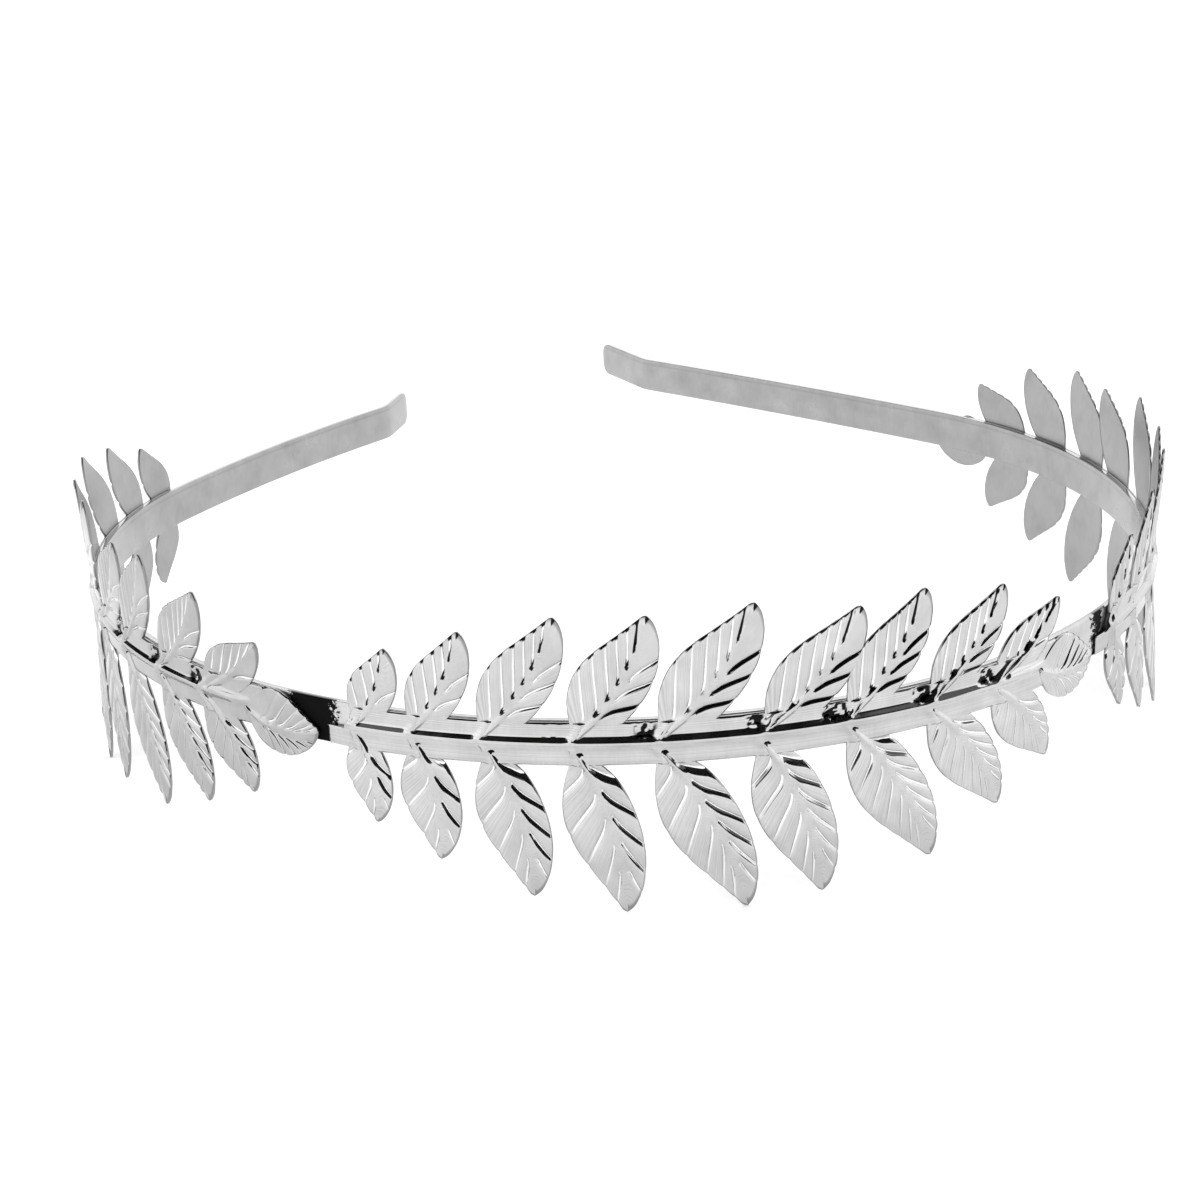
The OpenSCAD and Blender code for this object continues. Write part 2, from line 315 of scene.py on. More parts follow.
leafGrid = {
    "rows": {3: 44, 4: 54, 5: 64, 8: 84},  # by the number of creases
    "rearColumns": 18,
    "frontColumns": 13,
    "steps": 400,  # of the curve that spreads the rows
    "crowding": 5.0,  # how closely the rows gather at the creases
    "reach": 0.015,
    "tipCrowding": 2.0,
    "tipStart": 0.94,
    "fanCrowding": 3.5,
    "blend": 0.45,  # the two sides' rows meet within this distance from the middle
}

# upper root, tip, rise, width, then lower root, tip, drop, width, then creases: shares of
# the sprig's length, of the tallest rise or drop, and of the widest leaf
leafPairs = [
    (0.035, 0.085, 0.65, 0.66, 0.036, 0.061, 0.55, 0.64, 3),
    (0.106, 0.176, 0.83, 0.74, 0.111, 0.139, 0.72, 0.80, 4),
    (0.188, 0.284, 0.96, 0.86, 0.196, 0.247, 0.90, 0.89, 5),
    (0.294, 0.385, 0.96, 0.94, 0.296, 0.351, 0.99, 0.92, 5),
    (0.390, 0.503, 1.00, 0.98, 0.388, 0.486, 1.00, 0.95, 5),
    (0.508, 0.625, 0.87, 0.94, 0.505, 0.574, 0.97, 0.96, 5),
    (0.608, 0.705, 0.91, 0.87, 0.607, 0.710, 0.90, 0.93, 5),
    (0.713, 0.817, 0.78, 0.85, 0.710, 0.810, 0.72, 0.86, 5),
    (0.805, 0.917, 0.51, 0.74, 0.804, 0.895, 0.55, 0.80, 4),
]
endLeaf = (0.884, 0.07, 0.93, 8)  # root, drop, width, creases

# share of a leaf's length, then rear edge, middle and front edge as shares of its width
leafOutline = [
    (0.00, -0.04, 0.02, 0.07),
    (0.08, -0.07, 0.06, 0.18),
    (0.16, -0.19, 0.11, 0.33),
    (0.26, -0.33, 0.16, 0.47),
    (0.40, -0.42, 0.19, 0.55),
    (0.52, -0.41, 0.20, 0.57),
    (0.64, -0.34, 0.19, 0.55),
    (0.76, -0.23, 0.15, 0.48),
    (0.88, -0.12, 0.09, 0.35),
    (0.95, -0.06, 0.06, 0.22),
    (0.985, -0.03, 0.035, 0.12),
    (1.00, 0.01, 0.02, 0.03),
]
rearEdge, middleLine, frontEdge = 1, 2, 3  # the table's columns


def smoothStep(low, high, value):
    share = min(1.0, max(0.0, (value - low) / (high - low)))
    return share * share * (3 - 2 * share)


def spread(ends, count):
    return [ends[0] + (ends[1] - ends[0]) * k / (count - 1) for k in range(count)]


def outlineAt(share, column):
    # a smooth curve through the table's rows
    rows = leafOutline
    i = max(k for k in range(len(rows) - 1) if rows[k][0] <= max(share, 0.0))
    a, b = rows[i], rows[i + 1]
    before, after = rows[max(i - 1, 0)], rows[min(i + 2, len(rows) - 1)]
    span = b[0] - a[0]
    u = (share - a[0]) / span
    slopeA = (b[column] - before[column]) / (b[0] - before[0]) * span
    slopeB = (after[column] - a[column]) / (after[0] - a[0]) * span
    return ((2 * u ** 3 - 3 * u ** 2 + 1) * a[column] + (u ** 3 - 2 * u ** 2 + u) * slopeA
            + (3 * u ** 2 - 2 * u ** 3) * b[column] + (u ** 3 - u ** 2) * slopeB)


def rowShares(creases, rows, fan):
    # places of the rows along a leaf, crowded at its creases
    count = leafGrid["steps"]
    steps = spread((leaf["bladeStart"], 1.0), count + 1)
    totals = [0.0]
    for share in steps[1:]:
        crowd = sum(math.exp(-((share - crease) / leafGrid["reach"]) ** 2) for crease in creases)
        weight = 1 + leafGrid["crowding"] * crowd
        weight += leafGrid["tipCrowding"] * smoothStep(leafGrid["tipStart"], 1.0, share)
        if fan and share < leaf["fanEnd"]:
            weight += leafGrid["fanCrowding"]
        totals.append(totals[-1] + weight)
    shares, k = [], 0
    for row in range(rows + 1):
        goal = totals[-1] * row / rows
        while k < count - 1 and totals[k + 1] < goal:
            k += 1
        part = (goal - totals[k]) / (totals[k + 1] - totals[k])
        shares.append(steps[k] + (steps[k + 1] - steps[k]) * min(1.0, part))
    return shares


class LeafForm:
    # one leaf's outline and creases in the flat strip's coordinates
    def __init__(self, root, tip, wide, creases, side):
        self.root = Vector(root)
        self.long = (Vector(tip) - self.root).length
        self.ahead = (Vector(tip) - self.root) / self.long
        self.front = Vector((self.ahead.y, -self.ahead.x)) * side
        self.wide = wide
        self.side = side
        self.frontCreases = spread(leaf["upperFront"], creases)[:-1]
        self.rearCreases = spread(leaf["upperRear"], creases + 1)
        self.rows = leafGrid["rows"][creases]
        self.steep = side > 0
        self.folded = False
        self.darkEnds = 0.0
        self.darkBars = []
        self.depth = 1.0
        self.rearDepth = 1.0
        self.onStem = False

    def creaseEvenly(self, ends, count):
        self.frontCreases = self.rearCreases = spread(ends, count)

    def edgeShare(self, share, across):
        # where a line that leaves the middle at this share meets the rim
        start, left = leaf["bladeStart"], 1 - share
        if across < 0 and self.steep:
            near, far = leaf["steepSweep"]
            edge = 1 - near * left * smoothStep(*leaf["steepFade"], left) - far * left ** 3
            return start + (edge - start) * smoothStep(start, leaf["fanEnd"], share)
        sweep = leaf["sweep" if across > 0 else "rearSweep"]
        return 1 - (1 - start) * (left / (1 - start)) ** sweep

    def halfWidth(self, share, across):
        rim = outlineAt(self.edgeShare(share, across), frontEdge if across > 0 else rearEdge)
        return abs(rim - outlineAt(share, middleLine)) * self.wide

    def hooked(self, share, across):
        # creases run back along the rib before they turn out
        aside = abs(across) * self.halfWidth(share, across)
        hook = leaf["hook"][1 if across > 0 else -1]
        fadeIn, fadeOut = leaf["hookFade"]
        shift = hook * math.exp(-max(0.0, aside - leaf["ribHalf"]) / leaf["hookReach"]) / self.long
        shift *= smoothStep(leaf["bladeStart"], fadeIn, share) * (1 - smoothStep(fadeOut, 1, share))
        shift *= smoothStep(0.0, leaf["hookStart"], aside)
        return share - shift

    def place(self, share, across, bulge=1.0):
        share = self.hooked(share, across)
        edge = self.edgeShare(share, across)
        middle = outlineAt(share, middleLine)
        rim = outlineAt(edge, frontEdge if across > 0 else rearEdge)
        aside = (middle + (rim - middle) * abs(across) * bulge) * self.wide
        lean = abs(across) ** leaf["bow"]
        along = (share + (edge - share) * lean) * self.long
        return self.root + self.ahead * along + self.front * aside

    def creaseGap(self, share, across):
        # the nearest crease, the distance from it and the share of the way between two creases
        creases = self.frontCreases if across > 0 else self.rearCreases
        crease = min(creases, key=lambda spot: abs(spot - share))
        ahead, behind = min(across + leaf["gapStep"], 1.0), max(across - leaf["gapStep"], -1.0)
        along = (self.place(crease, ahead) - self.place(crease, behind)).normalized()
        away = self.place(share, across) - self.place(crease, across)
        step = creases[1] - creases[0]
        inside = creases[0] < share < creases[-1]
        between = ((share - creases[0]) / step) % 1.0 if inside else 0.0
        return crease, abs(away.x * along.y - away.y * along.x), between

    def footprint(self):
        # where the leaf's two rims cross the edge of the stem's flange
        start, step, ends = leaf["bladeStart"], leaf["footStep"], []
        for across in (-1, 1):
            spots = [self.place(start + k * step, across) for k in range(leaf["footSteps"])]
            ends.append(next((p.x for p in spots if abs(p.y) > stem["width"] / 2), spots[0].x))
        return min(ends), max(ends)


def sprigLeaves():
    long, rise, drop, wide = sprig["length"], leaf["rise"], leaf["drop"], leaf["width"]
    forms = []
    for i, pair in enumerate(leafPairs):
        root, tip, up, width = pair[:4]
        upper = LeafForm((root * long, 0), (tip * long, up * rise), width * wide, pair[8], 1)
        upper.folded = i in darkSpots["folded"]
        upper.darkEnds = darkSpots["ends"][i]
        upper.darkBars = upper.frontCreases[:darkSpots["bars"][i]]
        root, tip, down, width = pair[4:8]
        lower = LeafForm((root * long, 0), (tip * long, -down * drop), width * wide, pair[8], -1)
        lower.creaseEvenly(leaf["lowerCreases"], leaf["lowerCounts"][i])
        lower.rearDepth = leaf["lowerRear"][i]
        forms += [upper, lower]
    root, down, width, creases = endLeaf
    end = LeafForm((root * long, 0), (long, -down * drop), width * wide, creases, 1)
    end.creaseEvenly(leaf["endCreases"], creases)
    end.onStem, end.steep, end.depth = True, False, leaf["endDepth"]
    return forms + [end]


def paintedDarkAt(form, share, across, crease, line, aside, toRim):
    # painted dark reflections and shade: crease ends, folds and bars of the upper leaves, and their
    # tips
    spots, wearAndPaintedDark = darkSpots, 0.0
    if across < 0 and form.steep:
        ribEnd = smoothStep(*spots["ribEndFar"], aside) * smoothStep(*spots["ribEndNear"], aside)
        ends = max(ribEnd, smoothStep(*spots["rimEnd"], toRim))
        wearAndPaintedDark = form.darkEnds * smoothStep(*spots["endCore"], line) * ends
        if form.folded and crease == form.rearCreases[-1]:
            fold = smoothStep(*spots["foldCore"], line) * smoothStep(*spots["foldStart"], aside)
            wearAndPaintedDark = max(wearAndPaintedDark, fold)
    if across > 0 and crease in form.darkBars:
        wearAndPaintedDark = smoothStep(*spots["barCore"], line) * smoothStep(*spots["barStart"], aside)
        wearAndPaintedDark *= smoothStep(*spots["barEnd"], toRim)
    if form.steep:
        wearAndPaintedDark = max(wearAndPaintedDark, spots["tipTone"] * smoothStep(*spots["tip"], share))
    return wearAndPaintedDark


def leafHeight(form, share, across, high):
    # heights of the leaf's face and of the sheet's mean level, the groove's share and more
    half = form.halfWidth(share, across)
    aside = abs(across) * half
    crease, gap, between = form.creaseGap(share, across)
    clear = smoothStep(*leaf["clearOfStem"], high)
    wide, depth = leaf["grooveHalf"][1 if across > 0 else -1], form.depth
    if across < 0:
        depth *= form.rearDepth
    if form.side < 0 and across > 0 and crease == form.frontCreases[0]:
        wide *= 1 + leaf["wideGroove"] * across
        depth *= leaf["firstDepth"]
    line = math.exp(-(gap / wide) ** 2) * clear
    groove = line * depth * smoothStep(*leaf["ribEdge"], aside)
    groove *= 1 - (1 - leaf["rimGroove"]) * abs(across) ** 2
    mean = stem["flange"] - leaf["offset"] - leaf["sink"]
    mean += leaf["lift"] * smoothStep(*leaf["liftReach"], high)
    tipStart, tipCrown = leaf["crownTip"]
    crown = leaf["crown"] * math.exp(-(across / leaf["crownWidth"]) ** 2)
    crown *= tipCrown + (1 - tipCrown) * (1 - smoothStep(tipStart, 1.0, share))
    face = mean + crown * smoothStep(*leaf["crownReach"], high)
    vein = stem["veinHeight"] * math.exp(-(aside / stem["veinHalf"]) ** 2)
    face += vein * (1 - smoothStep(*leaf["veinFade"], high))
    drop = leaf["frontEdgeDrop"] if across > 0 else leaf["rearEdgeDrop"]
    face -= drop * smoothStep(leaf["edgeReach"], 0.0, half - aside) * clear
    pleat = leaf["pleat"] * math.sin(math.pi * between)
    face += pleat * smoothStep(0, leaf["pleatStart"], abs(across)) * clear
    wearAndPaintedDark = paintedDarkAt(form, share, across, crease, line, aside, half - aside)
    return face - leaf["grooveDepth"] * groove, mean, groove, between, wearAndPaintedDark


def backAt(high):
    lean = math.tan(math.radians(leaf["flare"]))
    return sprig["seat"] + leaf["offset"] + lean * max(0.0, abs(high) - strip["width"] / 2)


def layersOf(bm):
    return {name: bm.verts.layers.float.new(name)
            for name in ("backY", "groove", "rim", "paintedDarkness", "metalFace", "lines", "dullAndShaded")}


def thicken(bm, layers, made, toBack):
    # copies a sheet's faces to its back and walls its rim
    faces = list({face for vert in made["verts"] for face in vert.link_faces})
    made = bmesh.ops.extrude_face_region(bm, geom=faces, use_keep_orig=True)
    for vert in (item for item in made["geom"] if isinstance(item, bmesh.types.BMVert)):
        vert.co.y = toBack(vert)
        vert[layers["metalFace"]] = 0.0


def addLeaf(bm, layers, form):
    rear, front = leafGrid["rearColumns"], leafGrid["frontColumns"]
    rearShares = rowShares(form.rearCreases, form.rows, form.steep)
    frontShares = rowShares(form.frontCreases, form.rows, False)
    made = bmesh.ops.create_grid(bm, x_segments=form.rows, y_segments=rear + front, size=1)
    for vert in made["verts"]:
        row = round((vert.co.x + 1) / 2 * form.rows)
        column = round((vert.co.y + 1) / 2 * (rear + front)) - rear
        across = column / (front if column > 0 else rear)
        share = (rearShares[row] + frontShares[row]) / 2
        own = frontShares[row] if across > 0 else rearShares[row]
        aside = abs(across) * form.halfWidth(share, across)
        share += (own - share) * smoothStep(0.0, leafGrid["blend"], aside)
        high = abs(form.place(share, across).y)
        if form.onStem:
            high = max(0.0, share * form.long - leaf["endOverlap"])
        face, mean, groove, between, wearAndPaintedDark = leafHeight(form, share, across, high)
        wave = math.sin(math.pi * between) - leaf["scallopLevel"]
        spot = form.place(share, across, 1 + leaf["scallop"] * wave * abs(across) ** 3)
        back = backAt(0 if form.onStem else spot.y)
        toRim = (1 - abs(across)) * form.halfWidth(share, across)
        rim = smoothStep(leaf["rimWidth"], 0.0, toRim) * smoothStep(*leaf["rimStart"], high)
        vert.co = Vector((spot.x, -(back + face), spot.y))
        vert[layers["backY"]] = -(back + mean - sprig["sheet"])
        vert[layers["groove"]] = groove
        vert[layers["rim"]] = rim
        vert[layers["paintedDarkness"]] = wearAndPaintedDark
        vert[layers["metalFace"]] = 1.0
        vert[layers["lines"]] = own * form.long
    thicken(bm, layers, made, lambda v: v[layers["backY"]])


def ridgeAt(high):
    # height of the ridge above the flanges
    half, crest = stem["ridgeWidth"] / 2, stem["ridgeCrest"]
    if high > crest:
        return stem["ridgeHeight"] * (1 - smoothStep(crest, half, high))
    foot, past = -half - stem["ridgeSlope"][0], crest + stem["ridgeSlope"][1]
    return stem["ridgeHeight"] * smoothStep(foot, past, high) / smoothStep(foot, past, crest)


def stemFace(along, high, top, forms):
    # height of the stem's face above its back
    height = stem["flange"] + ridgeAt(high)
    rimShare, blend = 1.0, stem["rimBlend"]
    for form in (form for form in forms if high * form.side > 0):
        apart = along - form.root.x
        if abs(apart) < stem["veinReach"]:
            aside = abs(apart * form.ahead.y - high * form.ahead.x)
            sunk = 1 - smoothStep(*stem["veinFoot"], abs(high))
            crest = stem["flange"] + stem["veinShare"] * stem["ridgeHeight"] * sunk
            crest += stem["veinHeight"] * smoothStep(*stem["veinClimb"], abs(high))
            if crest > height:
                height += (crest - height) * math.exp(-(aside / stem["veinHalf"]) ** 2)
        start, end = form.foot
        rimShare -= (smoothStep(start - blend, start + blend, along)
                     * smoothStep(end + blend, end - blend, along))
    rim = min(high + stem["width"] / 2, top - high)
    rolled = 1 - smoothStep(0.0, stem["edgeWidth"], rim)
    return height - stem["edgeDrop"] * max(0.0, rimShare) * rolled


def dentAt(along, high):
    # depth of the hammered patches and the painted shade in them
    depth, wearAndPaintedDark = 0.0, 0.0
    mean, change, turn = dents["change"]
    for i, pair in enumerate(leafPairs):
        before = pair[0] * sprig["length"] + dents["gap"] - along
        reach = dents["length"] * (mean + change * math.sin(turn * i))
        if 0 < before < reach and high > dents["low"][0]:
            ramp = math.sin(math.pi * before / reach) ** dents["peak"]
            ramp *= smoothStep(*dents["low"], high)
            ramp *= smoothStep(*dents["high"], high)
            ramp *= smoothStep(*dents["leaves"], i)
            spot = Vector((along, high, dents["spacing"] * i)) / dents["size"]
            rough = 0.5 + noise.noise(spot) + 0.5 * noise.noise(spot * dents["fine"])
            depth += dents["depth"] * ramp * max(0.0, rough)
            wearAndPaintedDark = ramp * smoothStep(*dents["wearAndPaintedDark"], rough)
    return depth, wearAndPaintedDark


def addStem(bm, layers):
    long = endLeaf[0] * sprig["length"] + stem["pastEnd"]
    low, stalkLength, least = -stem["width"] / 2, stem["stalkLength"], stem["stalkHeight"]
    forms = sprigLeaves()
    for form in forms:
        form.foot = form.footprint()
    made = bmesh.ops.create_grid(bm, x_segments=stem["rows"], y_segments=stem["columns"], size=1)
    for vert in made["verts"]:
        along = (vert.co.x + 1) / 2 * long
        stalk = smoothStep(stalkLength / 2, stalkLength, along)
        top = low + stem["stalkWidth"] + (stem["width"] - stem["stalkWidth"]) * stalk
        u = (vert.co.y + 1) / 2
        crowded = u + stem["columnShift"] * math.sin(2 * math.tau * u) / math.tau
        high = low + (top - low) * crowded
        fade = smoothStep(*(long - distance for distance in stem["endFade"]), along)
        face = stemFace(along, high, top, forms) - fade * (ridgeAt(high) + stem["endDrop"])
        if along < stalkLength:
            face *= least + (1 - least) * smoothStep(0, stalkLength, along)
        depth, wearAndPaintedDark = dentAt(along, high)
        vert.co = Vector((along, -(sprig["seat"] + face - depth), high))
        # painted shade in the hammered patches
        vert[layers["paintedDarkness"]] = wearAndPaintedDark
        vert[layers["metalFace"]] = 1.0
        vert[layers["lines"]] = high
    thicken(bm, layers, made, lambda v: -sprig["seat"])


def makeSprigs(material):
    # one flat sprig is made and then bent round the strip in three places
    flat = bmesh.new()
    layers = layersOf(flat)
    addStem(flat, layers)
    for form in sprigLeaves():
        addLeaf(flat, layers, form)
    pitch = sprig["length"] + sprig["gap"]
    for name, count in (("left", -1), ("front", 0), ("right", 1)):
        bm = flat.copy()
        paintedDarkness, dullAndShaded = (bm.verts.layers.float[layer] for layer in ("paintedDarkness", "dullAndShaded"))
        for vert in bm.verts:
            # painted shade on this sprig's flats
            vert[dullAndShaded] = sprig["dullAndShaded"][name]
            # each sprig's leaves take their own share of the painted dark reflections and shade
            if abs(vert.co.z) > stem["width"] / 2:
                vert[paintedDarkness] *= sprig["paintedDarkStrength"][name]
        bendRound(bm, sprig["start"] + count * pitch)
        finishPiece(name + "Sprig", bm, material, "sprig_" + name)
    flat.free()


def newMaterial(name):
    material = bpy.data.materials.new(name)
    material.use_nodes = True
    tree = material.node_tree
    tree.nodes.clear()
    shader = tree.nodes.new("ShaderNodeBsdfPrincipled")
    output = tree.nodes.new("ShaderNodeOutputMaterial")
    tree.links.new(shader.outputs["BSDF"], output.inputs["Surface"])
    return material, tree, shader


def feed(tree, value, socket):
    # a socket takes a fixed value or another node's output
    if isinstance(value, bpy.types.NodeSocket):
        tree.links.new(value, socket)
    else:
        socket.default_value = value


def calculate(tree, operation, *values):
    step = tree.nodes.new("ShaderNodeMath")
    step.operation = operation
    for socket, value in zip(step.inputs, values):
        feed(tree, value, socket)
    return step.outputs["Value"]


def attributeOf(tree, name):
    node = tree.nodes.new("ShaderNodeAttribute")
    node.attribute_name = name
    return node.outputs["Fac"]


def noiseOf(tree, vector, scale, detail, fineness=0.5):
    texture = tree.nodes.new("ShaderNodeTexNoise")
    for key, value in (("Vector", vector), ("Scale", scale), ("Detail", detail),
                       ("Roughness", fineness)):
        feed(tree, value, texture.inputs[key])
    return texture.outputs["Fac"]


def mixColour(tree, factor, first, second):
    mix = tree.nodes.new("ShaderNodeMix")
    mix.data_type = "RGBA"
    feed(tree, factor, mix.inputs["Factor"])
    feed(tree, first, mix.inputs[6])  # its sockets A and B for colours
    feed(tree, second, mix.inputs[7])
    return mix.outputs[2]


def rangeOf(tree, source, low, high, toLow=0.0, toHigh=1.0, kind="SMOOTHSTEP"):
    made = tree.nodes.new("ShaderNodeMapRange")
    made.interpolation_type = kind
    for key, value in (("Value", source), ("From Min", low), ("From Max", high),
                       ("To Min", toLow), ("To Max", toHigh)):
        feed(tree, value, made.inputs[key])
    return made.outputs["Result"]


wear = {
    "smudgeScale": 260.0,  # slow patches
    "smudgeDetail": 4.0,
    "grainScale": 2600.0,
    "grainDetail": 2.0,
    "grainStretch": 0.22,  # fine upright streaks
    "rubbed": 0.35,  # how much a dull patch adds to the roughness
    "bumpStrength": 0.6,
    "bumpDepth": 0.02,
}


def makeWear():
    # smudges and fine streaks that both metals share
    group = bpy.data.node_groups.new("metalWear", "ShaderNodeTree")
    for way, name, kind in (("INPUT", "Colour", "NodeSocketColor"),
                            ("INPUT", "Roughness", "NodeSocketFloat"),
                            ("INPUT", "Smudge", "NodeSocketFloat"),
                            ("INPUT", "Grain", "NodeSocketFloat"),
                            ("OUTPUT", "Colour", "NodeSocketColor"),
                            ("OUTPUT", "Roughness", "NodeSocketFloat"),
                            ("OUTPUT", "Height", "NodeSocketFloat")):
        group.interface.new_socket(name=name, in_out=way, socket_type=kind)
    nodes, links = group.nodes, group.links
    given, made = nodes.new("NodeGroupInput"), nodes.new("NodeGroupOutput")
    where = nodes.new("ShaderNodeTexCoord").outputs["Object"]
    upright = nodes.new("ShaderNodeMapping")
    upright.inputs["Scale"].default_value = (1, 1, wear["grainStretch"])
    links.new(where, upright.inputs["Vector"])
    smudge = noiseOf(group, where, wear["smudgeScale"], wear["smudgeDetail"])
    grain = noiseOf(group, upright.outputs["Vector"], wear["grainScale"], wear["grainDetail"])
    smudge, grain = (calculate(group, "SUBTRACT", pattern, 0.5) for pattern in (smudge, grain))
    tone = calculate(group, "MULTIPLY_ADD", smudge, given.outputs["Smudge"], 1.0)
    tone = calculate(group, "MULTIPLY_ADD", grain, given.outputs["Grain"], tone)
    tinted = nodes.new("ShaderNodeVectorMath")
    tinted.operation = "SCALE"
    links.new(given.outputs["Colour"], tinted.inputs["Vector"])
    links.new(tone, tinted.inputs["Scale"])
    patches = calculate(group, "MAXIMUM", smudge, 0.0)
    dullAndShaded = calculate(group, "MULTIPLY_ADD", patches, wear["rubbed"], given.outputs["Roughness"])
    links.new(tinted.outputs["Vector"], made.inputs["Colour"])
    links.new(dullAndShaded, made.inputs["Roughness"])
    links.new(smudge, made.inputs["Height"])


def addWear(tree, shader, look, colour, roughness):
    wearAndPaintedDark = tree.nodes.new("ShaderNodeGroup")
    wearAndPaintedDark.node_tree = bpy.data.node_groups["metalWear"]
    for key, value in (("Colour", colour), ("Roughness", roughness),
                       ("Smudge", look["smudge"]), ("Grain", look["grain"])):
        feed(tree, value, wearAndPaintedDark.inputs[key])
    bump = tree.nodes.new("ShaderNodeBump")
    bump.inputs["Strength"].default_value = wear["bumpStrength"]
    bump.inputs["Distance"].default_value = wear["bumpDepth"] * mm
    tree.links.new(wearAndPaintedDark.outputs["Height"], bump.inputs["Height"])
    tree.links.new(bump.outputs["Normal"], shader.inputs["Normal"])
    tree.links.new(wearAndPaintedDark.outputs["Colour"], shader.inputs["Base Color"])
    tree.links.new(wearAndPaintedDark.outputs["Roughness"], shader.inputs["Roughness"])


leafLook = {
    "flat": (0.5, 0.5, 0.503, 1),
    # painted shade for the flats of the side sprigs
    "shadedFlat": (0.385, 0.385, 0.387, 1),
    # painted highlight: the grooves are lighter than the flats
    "groove": (0.86, 0.86, 0.86, 1),
    # painted shade: the backs are darker than the faces
    "back": (0.34, 0.34, 0.34, 1),
    # painted shade along the rolled rims
    "rim": (0.24, 0.24, 0.24, 1),
    # near black, painted as dark reflections and shade in creases, folds, tips and dents
    "paintedDarkness": (0.01, 0.01, 0.01, 1),
    "grooveHighlightMask": (0.45, 0.9),  # parts of the vertex layers' values that the masks use
    "faceMask": (0.4, 0.9),
    "rimShadeMask": (0.5, 1.0),
    "paintedDarknessMask": (0.25, 0.6),
    "faceRoughness": 0.09,
    "backRoughness": 0.32,
    "smudge": 0.4,
    "grain": 0.14,
    "fineLines": 6.5,  # painted shade and highlight standing in for faint grooves beside the creases and along the stems
    "lineShadeMask": (0.3, 0.7),
    "lineShadeDepth": 0.12,
}
stripLook = {
    # painted shade: the inside of the strip is darker than the outside
    "inside": (0.34, 0.34, 0.34, 1),
    "darkerInsideLine": (0.295, 0.295, 0.295, 1),  # a faint darker line along the inside, below the upper edge
    "lineHeight": 2.25,
    "lineHalf": 0.35,
    "outside": (0.52, 0.52, 0.52, 1),
    "roughness": 0.22,
    "smudge": 0.55,
    "grain": 0.16,
    # near-black, rougher patches on the outside of the strip beside the front sprig
    "blackPatch": (0.008, 0.008, 0.008, 1),
    "blackPatchRoughness": 0.7,
    "blackPatchReach": ((-48.0, -40.6), (69.6, 73.0)),  # along the strip
    "blackPatchRagged": 9.0,
    "blackPatchSoft": 0.3,
    "blackPatchScale": 1300.0,
    "blackPatchDetail": 5.0,
    "blackPatchFineness": 0.7,
}


def leafMetal():
    material, tree, shader = newMaterial("polishedLeafMetal")
    shader.inputs["Metallic"].default_value = 1.0
    look = leafLook
    groove = rangeOf(tree, attributeOf(tree, "groove"), *look["grooveHighlightMask"])
    face = rangeOf(tree, attributeOf(tree, "metalFace"), *look["faceMask"])
    rim = rangeOf(tree, attributeOf(tree, "rim"), *look["rimShadeMask"])
    paintedDarkness = rangeOf(tree, attributeOf(tree, "paintedDarkness"), *look["paintedDarknessMask"])
    # painted shade and highlight of faint grooves, in bands along the leaves and stems
    wave = tree.nodes.new("ShaderNodeTexNoise")
    wave.noise_dimensions = "1D"
    wave.inputs["Scale"].default_value = 1.0
    lines = calculate(tree, "MULTIPLY", attributeOf(tree, "lines"), look["fineLines"])
    tree.links.new(lines, wave.inputs["W"])
    lines = rangeOf(tree, wave.outputs["Fac"], *look["lineShadeMask"])
    low, high = ((look["flat"][0] * (1 + way * look["lineShadeDepth"]),) * 3 + (1,) for way in (-1, 1))
    front = mixColour(tree, lines, low, high)
    # painted shade on the side sprigs' flats
    front = mixColour(tree, attributeOf(tree, "dullAndShaded"), front, look["shadedFlat"])
    # painted highlight in the grooves
    front = mixColour(tree, groove, front, look["groove"])
    # painted shade along the rolled rims
    front = mixColour(tree, rim, front, look["rim"])
    # painted dark reflections and shade
    front = mixColour(tree, paintedDarkness, front, look["paintedDarkness"])
    # painted shade on the backs
    colour = mixColour(tree, face, look["back"], front)
    roughness = rangeOf(tree, attributeOf(tree, "metalFace"), *look["faceMask"],
                        look["backRoughness"], look["faceRoughness"])
    addWear(tree, shader, look, colour, roughness)
    return material


def stripMetal():
    material, tree, shader = newMaterial("smoothStripMetal")
    shader.inputs["Metallic"].default_value = 1.0
    look = stripLook
    where = tree.nodes.new("ShaderNodeTexCoord").outputs["Object"]
    outside = attributeOf(tree, "outside")
    # near-black patches with ragged ends on the outside of the strip
    blots = noiseOf(tree, where, look["blackPatchScale"], look["blackPatchDetail"], look["blackPatchFineness"])
    ragged = calculate(tree, "MULTIPLY_ADD", blots, look["blackPatchRagged"],
                       attributeOf(tree, "stripPlace"))
    middle, soft, blackPatches = look["blackPatchRagged"] / 2, look["blackPatchSoft"], 0.0
    for low, high in look["blackPatchReach"]:
        start = rangeOf(tree, ragged, low + middle - soft, low + middle + soft)
        end = rangeOf(tree, ragged, high + middle + soft, high + middle - soft)
        blackPatches = calculate(tree, "MAXIMUM", blackPatches, calculate(tree, "MULTIPLY", start, end))
    blackPatches = calculate(tree, "MULTIPLY", blackPatches, outside)
    parts = tree.nodes.new("ShaderNodeSeparateXYZ")
    tree.links.new(where, parts.inputs["Vector"])
    level, half = origin.z + look["lineHeight"] * mm, look["lineHalf"] * mm
    line = calculate(tree, "MULTIPLY", rangeOf(tree, parts.outputs["Z"], level - half, level),
                     rangeOf(tree, parts.outputs["Z"], level + half, level))
    metal = mixColour(tree, line, look["inside"], look["darkerInsideLine"])
    # painted shade: the inside is darker than the outside
    metal = mixColour(tree, outside, metal, look["outside"])
    metal = mixColour(tree, blackPatches, metal, look["blackPatch"])
    roughness = rangeOf(tree, blackPatches, 0.0, 1.0, look["roughness"], look["blackPatchRoughness"])
    addWear(tree, shader, look, metal, roughness)
    return material


